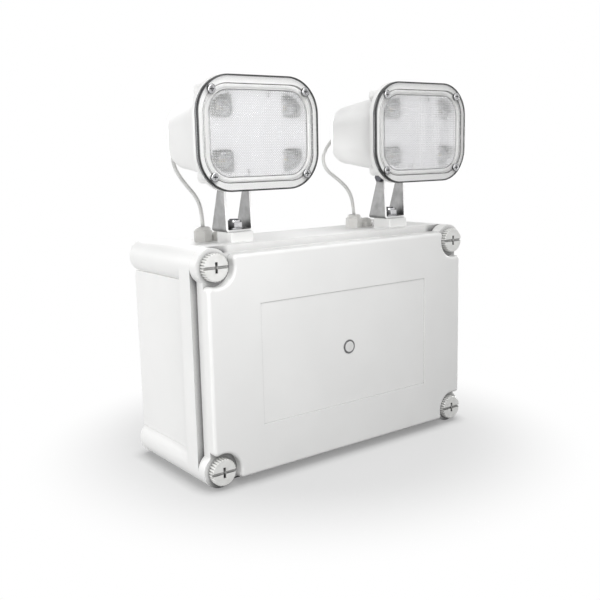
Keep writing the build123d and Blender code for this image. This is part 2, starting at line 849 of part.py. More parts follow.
def reflector(x):
    plate = RectangleRounded(
        mouth_width - 2 * reflector_gap,
        mouth_height - 2 * reflector_gap,
        mouth_round - reflector_gap,
    )
    tray = slab(at_head(x, plate), flange_back, reflector_face)
    outer_limit = at_head(x, shell_section(board_face, shell_wall + reflector_gap))
    inner_limit = at_head(x, shell_section(board_face, shell_wall + reflector_gap + cup_wall))
    outer_size = cup_size + 2 * cup_wall
    for px, pz in head_corners(x, cup_x, cup_z):
        cup = Pos(px, pz) * RectangleRounded(outer_size, outer_size, cup_round + cup_wall)
        tray += slab(cup & outer_limit, board_face, flange_back)
    for px, pz in head_corners(x, cup_x, cup_z):
        opening = Pos(px, pz) * RectangleRounded(cup_size, cup_size, cup_round)
        tray -= slab(opening & inner_limit, board_face, reflector_face)

    # The hollows over its two pegs
    for sign in (-1, 1):
        peg = (x + sign * peg_x, head_z + sign * peg_z)
        tray -= rod(peg_radius, *peg, reflector_face - peg_sink, reflector_face)
    return tray


def led_board(x):
    board = RectangleRounded(led_board_width, led_board_height, led_board_round)
    plate = slab(at_head(x, board), board_face - led_board_sheet, board_face)
    for px, pz in head_corners(x, led_x, led_z):
        plate += slab(Pos(px, pz) * Rectangle(led_size, led_size), board_face, board_face + led_height)
    return plate


def led_optics(x):
    lenses = []
    for px, pz in head_corners(x, led_x, led_z):
        top = board_face + optic_height
        lens = rod(optic_radius, px, pz, board_face, top)
        lens = fillet(lens.faces().sort_by(Axis.Y)[0].edges(), 2.5)
        lenses.append(lens - rod(led_size, px, pz, board_face, board_face + 2 * led_height))
    return lenses


def lead_grommet(x):
    z = head_z + grommet_lift
    back = shell_back - grommet_lip
    inside = shell_back + shell_wall
    front = inside + grommet_lip
    body = rod(grommet_radius, x, z, back, shell_back)
    body = fillet(body.faces().sort_by(Axis.Y)[-1].edges(), grommet_lip / 2)
    body += rod(grommet_neck - grommet_gap, x, z, shell_back, inside)
    body += rod(grommet_radius - grommet_lip / 2, x, z, inside, front)
    return body - rod(lead_diameter / 2 + lead_gap, x, z, back, front)


# Leads, each as points up from the gland and then points on to the grommet.
# The first are measured from the cable entry's middle on the sunk top panel,
# the rest from the grommet's middle on the back of the head.
lead_starts = {
    "left": [
        (0, 0, 10), (0, 0, 25.5), (-2.5, 3.5, 39.5), (-10.5, 10.5, 52),
        (-17, 16, 65), (-17, 19.5, 78),
    ],
    "right": [
        (0, 0, 10), (-0.3, 0.2, 25.5), (-3.5, 5.5, 40.5), (-14, 12, 51.5),
        (-23, 15.5, 59), (-26, 18, 70),
    ],
}
lead_ends = {
    "left": [(-12.5, 22, -9), (-6.5, 20, -3), (-2, 14.5, -0.3), (-0.3, 8, 0.2), (0, 1, 0)],
    "right": [
        (-19.5, 22, -15.5), (-11.5, 21.5, -7), (-5, 18, -2), (-1.2, 12, 0.1),
        (0, 5, 0), (0.2, -0.5, 0),
    ],
}


def arc_radii(points):
    """Each arc is 0.45 of its shorter run over the tangent of half its turn."""
    radii = []
    for before, corner, after in zip(points, points[1:], points[2:]):
        run_in = corner - before
        run_out = after - corner
        turn = math.radians(run_in.get_angle(run_out))
        radii.append(0.45 * min(run_in.length, run_out.length) / math.tan(turn / 2))
    return radii


def lead(side, x):
    entry = Vector(x, -entry_depth, panel_z)
    grommet = Vector(x, -shell_back, head_z + grommet_lift)
    points = [entry + Vector(*step) for step in lead_starts[side]]
    points += [grommet + Vector(*step) for step in lead_ends[side]]
    radii = arc_radii(points)
    path = FilletPolyline(*points, radius=radii)
    section = Plane(origin=path @ 0, z_dir=path % 0) * Circle(lead_diameter / 2)
    tube = sweep(section, path=path)
    expected = math.pi * lead_diameter**2 / 4 * path.length
    ratio = tube.volume / expected
    print(f"lead_{side}: length {path.length:.1f} mm, volume {ratio:.4f} of section times length")
    print("  radii " + " ".join(f"{r:.1f}" for r in radii))
    return tube


# Every piece by name
pieces = {
    "base_box": base_box(),
    "lid": lid(),
    "lid_gasket": lid_gasket(),
    "button_bezel": button_bezel(),
    "test_button": test_button(),
    "button_nut": button_nut(),
    "button_spring": button_spring(),
    "test_switch": test_switch(),
    "gear_tray": gear_tray(),
    "tray_screws": tray_screws(),
    "battery_pack": battery_pack(),
    "battery_strap": battery_strap(),
    "control_board": control_board(),
    "board_pillars": board_pillars(),
    "relay": relay(),
    "capacitors": capacitors(),
    "terminal_block": terminal_block(),
    "fuse_holder": fuse_holder(),
    "transformer": transformer(),
    "pan_bolts": pan_bolts(),
    "pan_washers": pan_washers(),
    "pan_nuts": pan_nuts(),
    "blanking_plugs": blanking_plugs(),
    "entry_locknuts": entry_locknuts(),
}
for corner, place in zip(("tl", "tr", "bl", "br"), post_places):
    pieces["lid_screw_" + corner] = lid_screw(*place)
for side, x in (("left", -head_x), ("right", head_x)):
    for name, make in (
        ("spacer", spacer),
        ("gland_body", gland_body),
        ("gland_nut", gland_nut),
        ("bracket", bracket),
        ("pivot_bolt", pivot_bolt),
        ("pivot_nut", pivot_nut),
        ("head_housing", head_housing),
        ("lens_gasket", lens_gasket),
        ("lens_cover", lens_cover),
        ("lens_screws", lens_screws),
        ("reflector", reflector),
        ("led_board", led_board),
        ("led_optics", led_optics),
        ("lead_grommet", lead_grommet),
    ):
        pieces[name + "_" + side] = make(x)
    pieces["lead_" + side] = lead(side, x)

os.makedirs("parts", exist_ok=True)
for name, piece in pieces.items():
    if isinstance(piece, list):
        piece = Compound([item.solid() for item in piece])
    export_step(piece, f"parts/{name}.step")
print(len(pieces), "pieces")
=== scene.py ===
import math

import bpy
import numpy as np
from mathutils import Matrix, Vector


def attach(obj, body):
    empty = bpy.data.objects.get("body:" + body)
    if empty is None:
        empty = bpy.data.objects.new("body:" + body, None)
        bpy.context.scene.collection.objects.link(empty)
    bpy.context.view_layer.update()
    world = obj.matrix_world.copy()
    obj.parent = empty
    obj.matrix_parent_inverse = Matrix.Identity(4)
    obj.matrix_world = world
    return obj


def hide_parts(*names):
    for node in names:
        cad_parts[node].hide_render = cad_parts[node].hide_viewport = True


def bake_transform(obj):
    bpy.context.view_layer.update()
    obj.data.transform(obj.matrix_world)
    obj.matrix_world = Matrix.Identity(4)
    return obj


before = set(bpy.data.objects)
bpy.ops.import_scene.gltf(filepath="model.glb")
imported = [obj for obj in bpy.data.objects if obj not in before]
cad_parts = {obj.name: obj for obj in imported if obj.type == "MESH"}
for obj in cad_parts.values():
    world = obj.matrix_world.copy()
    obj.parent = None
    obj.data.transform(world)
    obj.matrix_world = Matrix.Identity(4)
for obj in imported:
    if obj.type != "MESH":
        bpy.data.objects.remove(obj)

# Twin-head emergency light in white plastic, on a pale studio floor.
# X is to the right, Y goes into the wall and Z is up, in metres.
scene = bpy.context.scene
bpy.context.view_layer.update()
heads = {"left": -0.09, "right": 0.09}


# Camera, where the photograph was taken from
camera = {
    "place": (-0.46643, -0.67612, 0.17228),
    "yaw": 36.77,
    "pitch": -10.12,
    "roll": -1.31,
    "lens": 49.35,
    "near": 0.05,
    "far": 40,
    "pixels": 600,
}


def aimCamera(look):
    yaw, pitch, roll = (math.radians(look[k]) for k in ("yaw", "pitch", "roll"))
    flat, rise = math.cos(pitch), math.sin(pitch)
    ahead = Vector((math.sin(yaw) * flat, math.cos(yaw) * flat, rise))
    level = Vector((math.cos(yaw), -math.sin(yaw), 0))
    up = level.cross(ahead)
    across = level * math.cos(roll) + up * math.sin(roll)
    upward = up * math.cos(roll) - level * math.sin(roll)
    data = bpy.data.cameras.new("camera")
    data.lens = look["lens"]
    data.clip_start = look["near"]
    data.clip_end = look["far"]
    shot = bpy.data.objects.new("camera", data)
    turn = Matrix((across, upward, -ahead)).transposed().to_4x4()
    shot.matrix_world = Matrix.Translation(look["place"]) @ turn
    scene.collection.objects.link(shot)
    scene.camera = shot


aimCamera(camera)
scene.render.resolution_x = camera["pixels"]
scene.render.resolution_y = camera["pixels"]
scene.view_settings.view_transform = "Standard"
print("camera is set")


# Mesh helpers
def gridFaces(rows, columns, wrap=False):
    # Each face joins neighbours in a table of points, row by row
    index = np.arange(rows * columns).reshape(rows, columns)
    right = np.roll(index, -1, axis=1)
    last = columns if wrap else columns - 1
    corners = (index[:-1, :last], right[:-1, :last], right[1:, :last], index[1:, :last])
    return np.stack(corners, axis=-1).reshape(-1, 4)


def meshPiece(name, points, faces, smooth=True):
    data = bpy.data.meshes.new(name)
    data.from_pydata(points.reshape(-1, 3).tolist(), [], faces.tolist())
    data.polygons.foreach_set("use_smooth", np.full(len(faces), smooth))
    data.update()
    piece = bpy.data.objects.new(name, data)
    scene.collection.objects.link(piece)
    return piece


def outward(points, faces):
    # The signed volume under all the triangles tells whether the faces point outwards
    a, b, c = (points[faces[:, k]] for k in range(3))
    volume = np.einsum("ij,ij->i", a, np.cross(b, c)).sum()
    if faces.shape[1] == 4:
        volume += np.einsum("ij,ij->i", a, np.cross(c, points[faces[:, 3]])).sum()
    return faces if volume > 0 else faces[:, ::-1]


def spun(profile, sides):
    # Each ring is a profile point's radius times cosine and sine, at that point's depth.
    # The first and last profile points lie on the axis and close the ends.
    turn = np.linspace(0, 2 * np.pi, sides, endpoint=False)[None, :]
    inner = profile[1:-1]
    radius, depth = inner[:, :1], inner[:, 1:]
    rings = np.stack((radius * np.cos(turn), depth + 0 * turn, radius * np.sin(turn)), axis=-1)
    ends = np.array([(0, profile[0, 1], 0), (0, profile[-1, 1], 0)])
    points = np.concatenate((rings.reshape(-1, 3), ends))
    quads = gridFaces(len(inner), sides, wrap=True)
    first = np.arange(sides)
    last = first + (len(inner) - 1) * sides
    caps = [
        np.stack((np.full(sides, len(points) - 2), np.roll(first, -1), first), axis=-1),
        np.stack((np.full(sides, len(points) - 1), last, np.roll(last, -1)), axis=-1),
    ]
    faces = np.concatenate((quads[:, [0, 1, 2]], quads[:, [0, 2, 3]], *caps))
    return points, outward(points, faces)


# Lamp leads, from the cable entry up to the grommet at the back of each head.
# The route points are sideways from the head's middle, then depth and height.
cable = {"diameter": 0.0036, "sides": 20, "smooth": 10}
cableRoutes = {
    "left": [
        (0, -0.028, 0.1055), (0, -0.028, 0.121), (-0.0025, -0.0245, 0.135),
        (-0.0105, -0.0175, 0.1475), (-0.017, -0.012, 0.1605), (-0.017, -0.0085, 0.1735),
        (-0.0125, -0.0075, 0.1825), (-0.0065, -0.0095, 0.1885), (-0.002, -0.015, 0.1912),
        (-0.0003, -0.0215, 0.1917), (0, -0.0285, 0.1915),
    ],
    "right": [
        (0, -0.028, 0.1055), (-0.0003, -0.0278, 0.121), (-0.0035, -0.0225, 0.136),
        (-0.014, -0.016, 0.147), (-0.023, -0.0125, 0.1545), (-0.026, -0.01, 0.1655),
        (-0.0195, -0.0075, 0.176), (-0.0115, -0.008, 0.1845), (-0.005, -0.0115, 0.1895),
        (-0.0012, -0.0175, 0.1916), (0, -0.0245, 0.1915), (0.0002, -0.03, 0.1915),
    ],
}


def splineLine(name, points):
    # The points of a smooth NURBS line that the route's points steer
    curve = bpy.data.curves.new(name, "CURVE")
    curve.dimensions = "3D"
    spline = curve.splines.new("NURBS")
    spline.points.add(len(points) - 1)
    spline.points.foreach_set("co", [v for p in points for v in (*p, 1)])
    spline.order_u = 3
    spline.use_endpoint_u = True
    spline.resolution_u = cable["smooth"]
    guide = bpy.data.objects.new(name, curve)
    scene.collection.objects.link(guide)
    bpy.context.view_layer.update()
    wire = bpy.data.meshes.new_from_object(guide)
    line = np.zeros(len(wire.vertices) * 3)
    wire.vertices.foreach_get("co", line)
    bpy.data.objects.remove(guide)
    bpy.data.meshes.remove(wire)
    return line.reshape(-1, 3)


def tube(name, line, radius, sides):
    # A circle across the line at every point, turned so that its zero faces sideways
    ahead = np.gradient(line, axis=0)
    ahead /= np.linalg.norm(ahead, axis=1, keepdims=True)
    side = np.array((1.0, 0, 0)) - ahead * ahead[:, :1]
    side /= np.linalg.norm(side, axis=1, keepdims=True)
    other = np.cross(ahead, side)
    angle = np.linspace(0, 2 * np.pi, sides, endpoint=False)[None, :, None]
    ring = np.cos(angle) * side[:, None] + np.sin(angle) * other[:, None]
    points = line[:, None] + radius * ring
    return meshPiece(name, points, gridFaces(len(line), sides, wrap=True))


leads = []
for side, middle in heads.items():
    route = [(middle + x, y, z) for x, y, z in cableRoutes[side]]
    line = splineLine("route_" + side, route)
    half = len(line) // 2
    parts = (
        ("lower", line[: half + 1], "enclosure", "bracket_" + side),
        ("upper", line[half:], "bracket_" + side, "head_" + side),
    )
    for name, run, fixed, moving in parts:
        lead = tube("lead_" + name + "_" + side, run, cable["diameter"] / 2, cable["sides"])
        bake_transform(lead)
        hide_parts("lead_" + side)
        leads.append(lead)
print("leads are routed")


# Material helpers, with how many rays feel out corners and rounded edges
cornerRays = 12
edgeRays = 6


def linear(code):
    # Hex colour as painted on screen, turned to linear light
    parts = [int(code[i : i + 2], 16) / 255 for i in (1, 3, 5)]
    curve = [c / 12.92 if c <= 0.04045 else ((c + 0.055) / 1.055) ** 2.4 for c in parts]
    return (*curve, 1)


def newMaterial(name):
    made = bpy.data.materials.new(name)
    made.use_nodes = True
    made.node_tree.nodes.clear()
    return made, made.node_tree


def addNode(tree, kind, settings=None, links=None):
    # Settings go to the input of that name or number, or else to the node itself
    made = tree.nodes.new("ShaderNode" + kind)
    for key, value in (settings or {}).items():
        if isinstance(key, int) or key in made.inputs:
            made.inputs[key].default_value = value
        else:
            setattr(made, key, value)
    for key, source in (links or {}).items():
        tree.links.new(source, made.inputs[key])
    return made


def finishWith(tree, shader):
    addNode(tree, "OutputMaterial", links={"Surface": shader.outputs[0]})


def noiseAt(tree, place, sizeMm, detail=2.0, stretch=None):
    # Noise whose grains are about that size, in Object coordinates
    source = place.outputs["Object"]
    if stretch:
        source = addNode(tree, "Mapping", {"Scale": stretch}, {"Vector": source}).outputs[0]
    return addNode(tree, "TexNoise", {"Scale": 1000 / sizeMm, "Detail": detail}, {"Vector": source})


def colourBetween(tree, factor, low, high, lowAt=0.35, highAt=0.65):
    ramp = addNode(tree, "ValToRGB", links={"Fac": factor})
    ramp.color_ramp.elements[0].position = lowAt
    ramp.color_ramp.elements[0].color = linear(low)
    ramp.color_ramp.elements[1].position = highAt
    ramp.color_ramp.elements[1].color = linear(high)
    return ramp


def valueBetween(tree, factor, low, high):
    return addNode(tree, "MapRange", {"To Min": low, "To Max": high}, {"Value": factor})


def mathOf(tree, operation, first, second=None):
    # Each side is a socket or a plain number
    made = addNode(tree, "Math", {"operation": operation})
    for at, value in enumerate((first, second)):
        if isinstance(value, (int, float)):
            made.inputs[at].default_value = value
        elif value is not None:
            tree.links.new(value, made.inputs[at])
    return made.outputs[0]


def facingFront(tree, place):
    # One where the surface looks straight to the front or back, nought where it looks aside
    facing = addNode(tree, "SeparateXYZ", links={"Vector": place.outputs["Normal"]})
    return mathOf(tree, "ABSOLUTE", facing.outputs["Y"])


def dotCells(tree, place, look):
    # How far each point is from the nearest point of an even lattice
    cells = addNode(
        tree, "TexVoronoi", {"Scale": 1000 / look["dotMm"], "Randomness": 0.0},
        {"Vector": place.outputs["Object"]},
    )
    return cells.outputs["Distance"]


def darkened(tree, colour, tone):
    settings = {"data_type": "RGBA", "blend_type": "MULTIPLY", 0: 1.0}
    return addNode(tree, "Mix", settings, {6: colour, 7: tone})


def passLight(tree, seen, through):
    # Shadows and bounced light go straight on to what is behind clear plastic
    path = addNode(tree, "LightPath")
    passing = mathOf(tree, "MAXIMUM", path.outputs["Is Shadow Ray"], path.outputs["Is Diffuse Ray"])
    links = {0: passing, 1: seen.outputs[0], 2: through.outputs[0]}
    finishWith(tree, addNode(tree, "MixShader", links=links))


# Where painted shade darkens the seam's ledge: below the upper posts, or out at the ends. In metres.
ledgeShade = {"top": 0.09, "topFull": 0.08, "leastAbove": 0.4, "end": 0.11, "endFull": 0.118}


def shadedInCreases(tree, colour, look):
    # Painted shade: corners and grooves take the darker tone, by how closed in each point is
    closed = addNode(
        tree, "AmbientOcclusion",
        {"samples": cornerRays, "Distance": look["creaseShadeMm"] / 1000,
         "only_local": look.get("alone", False)},
    )
    low, high = look["creaseShadeAt"]
    tone = colourBetween(tree, closed.outputs["AO"], look["creaseShade"], "#ffffff", low, high)
    shadedColour = darkened(tree, colour, tone.outputs[0])
    if look.get("shadeFrontOnly"):
        # The painted shade goes only on faces that look to the front or back, where the ledge lies
        place = addNode(tree, "TexCoord")
        point = addNode(tree, "SeparateXYZ", links={"Vector": place.outputs["Object"]})
        below = addNode(
            tree, "MapRange",
            {"From Min": ledgeShade["top"], "From Max": ledgeShade["topFull"], "To Min": ledgeShade["leastAbove"]},
            {"Value": point.outputs["Z"]},
        )
        ends = addNode(
            tree, "MapRange", {"From Min": ledgeShade["end"], "From Max": ledgeShade["endFull"]},
            {"Value": mathOf(tree, "ABSOLUTE", point.outputs["X"])},
        )
        there = mathOf(tree, "MAXIMUM", below.outputs[0], ends.outputs[0])
        share = mathOf(tree, "MULTIPLY", facingFront(tree, place), there)
        tree.links.new(share, shadedColour.inputs[0])
    return shadedColour.outputs[2]


# Red light goes furthest into white plastic, then green and blue. In metres.
glowReach = {"scale": 0.002, "colours": (1, 0.95, 0.9)}
# A grain stands up by this part of its width
grainRise = 0.25
# A dot's even core and its outer rim, as parts of the step from dot to dot
dotSize = {"core": 0.25, "rim": 0.5}
# How far the roughness may fall and rise from its middle
roughSpread = {"plastic": (0.05, 0.05), "metal": (0.08, 0.1)}


def mouldedPlastic(name, look):
    # Plastic gives the eye a soft even tone, painted shade in corners, a fine grain in the highlights
    # and rounded edges
    made, tree = newMaterial(name)
    place = addNode(tree, "TexCoord")
    cloud = noiseAt(tree, place, look["cloudMm"])
    grain = noiseAt(tree, place, look["grainMm"], detail=3)
    colour = colourBetween(tree, cloud.outputs["Fac"], look["shade"], look["colour"])
    tint = shadedInCreases(tree, colour.outputs[0], look)
    if "dotMm" in look:
        # Small dots in even rows, light on a darker ground, drawn coarser than the real ones
        cells = dotCells(tree, place, look)
        dots = colourBetween(tree, cells, "#ffffff", look["dot"], dotSize["core"], dotSize["rim"])
        tint = darkened(tree, tint, dots.outputs[0]).outputs[2]
    less, more = roughSpread["plastic"]
    low, high = look["roughness"] - less, look["roughness"] + more
    rough = valueBetween(tree, grain.outputs["Fac"], low, high)
    edge = addNode(tree, "Bevel", {"samples": edgeRays, "Radius": look["edgeMm"] / 1000})
    bump = addNode(
        tree, "Bump",
        {"Strength": look["grain"], "Distance": look["grainMm"] * grainRise / 1000},
        {"Height": grain.outputs["Fac"], "Normal": edge.outputs[0]},
    )
    shader = addNode(
        tree, "BsdfPrincipled",
        {"IOR": look["ior"], "Subsurface Weight": look["glow"],
         "Subsurface Scale": glowReach["scale"], "Subsurface Radius": glowReach["colours"]},
        {"Base Color": tint, "Roughness": rough.outputs[0], "Normal": bump.outputs[0]},
    )
    finishWith(tree, shader)
    return made


# How squarely a sheet's cut edge faces front or back to take the painted highlight, and how deep the
# streaks are, in metres
cutFacing = {"from": 0.85, "full": 0.95}
streakDepth = 0.00005


def brushedMetal(name, look):
    # Metal gives the eye a streaked sheen, with painted shade darkening its corners
    made, tree = newMaterial(name)
    place = addNode(tree, "TexCoord")
    streak = noiseAt(tree, place, look["streakMm"], detail=4, stretch=look["stretch"])
    cloud = noiseAt(tree, place, look["cloudMm"])
    colour = colourBetween(tree, cloud.outputs["Fac"], look["shade"], look["colour"]).outputs[0]
    if "paintedEdge" in look:
        # Painted highlight: the sheet's sheared edges that face front and back are painted nearly
        # white
        edges = addNode(
            tree, "MapRange", {"From Min": cutFacing["from"], "From Max": cutFacing["full"]},
            {"Value": facingFront(tree, place)},
        )
        colour = addNode(
            tree, "Mix", {"data_type": "RGBA", 7: linear(look["paintedEdge"])},
            {0: edges.outputs[0], 6: colour},
        ).outputs[2]
    less, more = roughSpread["metal"]
    low, high = look["roughness"] - less, look["roughness"] + more
    rough = valueBetween(tree, streak.outputs["Fac"], low, high)
    edge = addNode(tree, "Bevel", {"samples": edgeRays, "Radius": look["edgeMm"] / 1000})
    bump = addNode(
        tree, "Bump", {"Strength": look["depth"], "Distance": streakDepth},
        {"Height": streak.outputs["Fac"], "Normal": edge.outputs[0]},
    )
    shader = addNode(
        tree, "BsdfPrincipled", {"Metallic": 1.0},
        {"Base Color": shadedInCreases(tree, colour, look), "Roughness": rough.outputs[0],
         "Normal": bump.outputs[0]},
    )
    finishWith(tree, shader)
    return made


def dress(made, *names):
    for name in names:
        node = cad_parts[name]
        node.data.materials.clear()
        node.data.materials.append(made)


def bothSides(*names):
    return [name + "_" + side for name in names for side in heads]


# Enclosure: satin white polycarbonate with a fine spark-eroded grain. It gives the eye a nearly flat
# white with soft sheen, and dark lines of painted shade only where the lid meets the box.
# The crease colour is painted shade in corners, handed on to the plastics made from this one
boxPlastic = {
    "colour": "#f4f4f3", "shade": "#f1f1f0", "roughness": 0.42, "ior": 1.58, "grainMm": 0.6,
    "grain": 0.12, "cloudMm": 60, "edgeMm": 0.35, "glow": 0.0, "creaseShade": "#58585a", "creaseShadeMm": 10,
    "creaseShadeAt": (0.2, 0.9),
}
# Lid and box: darker painted shade, only on faces that look to the front or back along the seam's
# ledge
lidPlastic = dict(boxPlastic, creaseShade="#3a3a3c", creaseShadeMm=12, shadeFrontOnly=True)
dress(mouldedPlastic("white polycarbonate", lidPlastic), "lid")
rimPlastic = dict(boxPlastic, creaseShade="#3c3c3e", creaseShadeMm=12, creaseShadeAt=(0.45, 1.0), shadeFrontOnly=True)
dress(mouldedPlastic("white polycarbonate box", rimPlastic), "base_box")

# Blocks under the brackets: the same plastic, a shade greyer against the white top, with light painted
# shade in their own corners
blockPlastic = dict(boxPlastic, colour="#ececeb", shade="#e8e8e7", creaseShade="#a8a8aa", alone=True)
dress(mouldedPlastic("white polycarbonate block", blockPlastic), *bothSides("spacer"))

# Lid screws: white nylon, slightly duller, with slots and knurls darkened nearly black by painted
# shade
screwPlastic = dict(
    boxPlastic, colour="#efefed", shade="#e4e4e1", roughness=0.38, cloudMm=6, edgeMm=0.25,
    creaseShade="#1e1e20", creaseShadeMm=4,
)
screwWhite = mouldedPlastic("white nylon screw", screwPlastic)
dress(screwWhite, *("lid_screw_" + corner for corner in ("tl", "tr", "bl", "br")))

# Cable entries and blanking plugs: natural nylon, warmer and a little see-through at its edges, with
# light painted shade in corners
entryPlastic = dict(
    boxPlastic, colour="#d9d8d5", shade="#d0cfcc", roughness=0.36, ior=1.53, cloudMm=8, edgeMm=0.35,
    glow=0.1, creaseShade="#a0a0a0", creaseShadeMm=6, alone=True,
)
entryNylon = mouldedPlastic("natural nylon", entryPlastic)
dress(entryNylon, "blanking_plugs", "entry_locknuts", *bothSides("gland_body", "gland_nut"))

# Head mouldings: polycarbonate, smoother and a little glossier than the box, with wider highlights and
# light painted shade in corners
headPlastic = dict(
    boxPlastic, colour="#f5f5f4", shade="#f2f2f1", roughness=0.32, grainMm=0.9, grain=0.05,
    cloudMm=45, edgeMm=0.4, alone=True, creaseShade="#a6a6a7", creaseShadeMm=6,
)
headWhite = mouldedPlastic("white moulded head", headPlastic)
dress(headWhite, *bothSides("head_housing"))

# Reflector: the same moulding painted a shade greyer as painted shade for the window, which fills it
# with an even pale tone
reflectorPlastic = dict(headPlastic, colour="#e7e7e6", shade="#e4e4e3")
dress(mouldedPlastic("white moulded reflector", reflectorPlastic), *bothSides("reflector"))

# Test button: ABS nearly as white as the lid, inside a thin grey ring that outlines it
buttonPlastic = dict(boxPlastic, colour="#e6e6e5", shade="#e0e0df", cloudMm=4, edgeMm=0.2)
dress(mouldedPlastic("white button", buttonPlastic), "test_button")
bezelPlastic = dict(boxPlastic, colour="#6d6d6f", shade="#616163", cloudMm=3, edgeMm=0.1)
dress(mouldedPlastic("grey button ring", bezelPlastic), "button_bezel")

# Leads: grey-white PVC, dull, so they stand out softly from the heads
leadPlastic = dict(
    boxPlastic, colour="#dededc", shade="#d2d2d0", roughness=0.5, ior=1.53, grainMm=0.4, grain=0.2,
    cloudMm=14, edgeMm=0.1, glow=0.05,
)
leadGrey = mouldedPlastic("grey-white PVC", leadPlastic)
for lead in leads:
    lead.data.materials.append(leadGrey)

# Lid seal: grey silicone, a thin dull line in the seam
sealRubber = dict(
    boxPlastic, colour="#77777a", shade="#6a6a6d", roughness=0.7, ior=1.52, grainMm=0.5, grain=0.3,
    cloudMm=10, edgeMm=0.1,
)
dress(mouldedPlastic("grey silicone", sealRubber), "lid_gasket")

# Lens seals: translucent silicone, a pale band seen through the clear cover, with light painted shade
# in corners
lensSeal = dict(
    sealRubber, colour="#ebebea", shade="#e2e2e1", roughness=0.5, glow=0.2, creaseShade="#c8c8c8",
    alone=True,
)
silicone = mouldedPlastic("translucent silicone", lensSeal)
seal = {
    "width": 0.1024, "height": 0.0724, "corner": 0.0242, "bead": 0.0024, "thick": 0.0009,
    "soft": 0.0002, "depth": -0.1225, "middle": 0.1885, "arc": 16,
}


def lensSealRing(side, middle, look):
    # The path is four quarter arcs; the section is set off along each arc's own direction
    arc, corner = look["arc"], look["corner"]
    quarter = np.arange(4)[:, None]
    angle = ((quarter + np.linspace(0, 1, arc)[None, :]) * np.pi / 2).reshape(-1, 1)
    left = np.array((1, -1, -1, 1)).repeat(arc)[:, None] * (look["width"] / 2 - corner)
    high = np.array((1, 1, -1, -1)).repeat(arc)[:, None] * (look["height"] / 2 - corner)
    half, deep, soft = look["bead"] / 2, look["thick"] / 2, look["soft"]
    out = np.array((half, half, half - soft, soft - half, -half, -half, soft - half, half - soft))
    along = np.array((soft - deep, deep - soft, deep, deep, deep - soft, soft - deep, -deep, -deep))
    reach = corner + out[None, :]
    points = np.stack(
        (middle + left + reach * np.cos(angle), look["depth"] + along + 0 * angle,
         look["middle"] + high + reach * np.sin(angle)), axis=-1,
    ).reshape(-1, 3)
    faces = gridFaces(4 * arc + 1, len(out), wrap=True) % len(points)
    piece = meshPiece("lens_seal_" + side, points, outward(points, faces))
    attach(piece, "head_" + side)
    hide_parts("lens_gasket_" + side)
    piece.data.materials.append(silicone)


for side, middle in heads.items():
    lensSealRing(side, middle, seal)

# Grommets: pale rubber, duller and greyer than the head they sit in
grommetRubber = dict(sealRubber, colour="#c8c8c6", shade="#b9b9b7", roughness=0.6)
dress(mouldedPlastic("pale rubber", grommetRubber), *bothSides("lead_grommet"))

# Bracket and battery strap: zinc plated sheet, a mid grey with faint upright streaks and painted shade
# in its corners
sheetSteel = {
    "colour": "#999999", "shade": "#878787", "roughness": 0.42, "streakMm": 0.5, "cloudMm": 9,
    "stretch": (1, 1, 0.06), "depth": 0.35, "edgeMm": 0.3, "creaseShade": "#2c2c2e", "creaseShadeMm": 7,
    "creaseShadeAt": (0.2, 0.9),
}
# The bracket's front-facing sheared edges get a near-white painted highlight
bracketSteel = dict(sheetSteel, paintedEdge="#fbfbfb")
dress(brushedMetal("zinc plated sheet", bracketSteel), *bothSides("bracket"))
dress(brushedMetal("zinc plated strap", sheetSteel), "battery_strap")

# Bolts: dark plated steel, nearly black beside the bracket
boltSteel = dict(sheetSteel, colour="#5c5c60", shade="#48484c", roughness=0.3, stretch=(1, 1, 1))
darkSteel = brushedMetal("dark plated steel", boltSteel)
dress(darkSteel, "pan_bolts", *bothSides("pivot_bolt", "pivot_nut"))

# Bracket nuts: bright zinc flats with black corners of painted shade, for a hard contrast inside the
# bracket
nutSteel = dict(
    boltSteel, colour="#d6d6d8", shade="#bebec0", roughness=0.22, creaseShade="#060606", creaseShadeMm=5,
)
dress(brushedMetal("zinc plated nut", nutSteel), "pan_nuts")

# Small plated parts: bright zinc, paler than the sheet
plated = dict(boltSteel, colour="#c2c2c4", shade="#aeaeb1", roughness=0.28)
platedParts = ("pan_washers", "tray_screws", "button_nut", "board_pillars", "button_spring")
dress(brushedMetal("bright zinc", plated), *platedParts)

# Lens screws: stainless steel, a bright dot with a recess darkened by painted shade
stainless = dict(
    boltSteel, colour="#c4c4c6", shade="#adadaf", roughness=0.2, edgeMm=0.25, creaseShadeMm=3.5,
    creaseShade="#0a0a0a", creaseShadeAt=(0.5, 0.95),
)
dress(brushedMetal("stainless steel", stainless), *bothSides("lens_screws"))
print("plastics and metals are dressed")


# Lens covers: clear polycarbonate. It gives the eye a clean window, a painted dark line round its cut
# rim and two thinner painted ones along the window's step, standing in for light the edges turn away.
# Both heads share one middle, because the lines are drawn by the distance to either side.
clearCover = {
    "rim": "#9c9d9f", "face": "#fdfdfd", "rimTo": 0.9, "roughness": 0.03, "ior": 1.585,
    "edge": "#0e0f10", "middle": (0.09, 0, 0.1885),
    "lines": [
        {"width": 0.116, "height": 0.09, "corner": 0.03, "thick": 0.003, "share": 1.0},
        {"width": 0.103, "height": 0.076, "corner": 0.022, "thick": 0.0008, "share": 0.6},
        {"width": 0.093, "height": 0.067, "corner": 0.018, "thick": 0.0007, "share": 0.4},
    ],
}
# The even middle of a line, as a part of its width
lineCore = 0.35


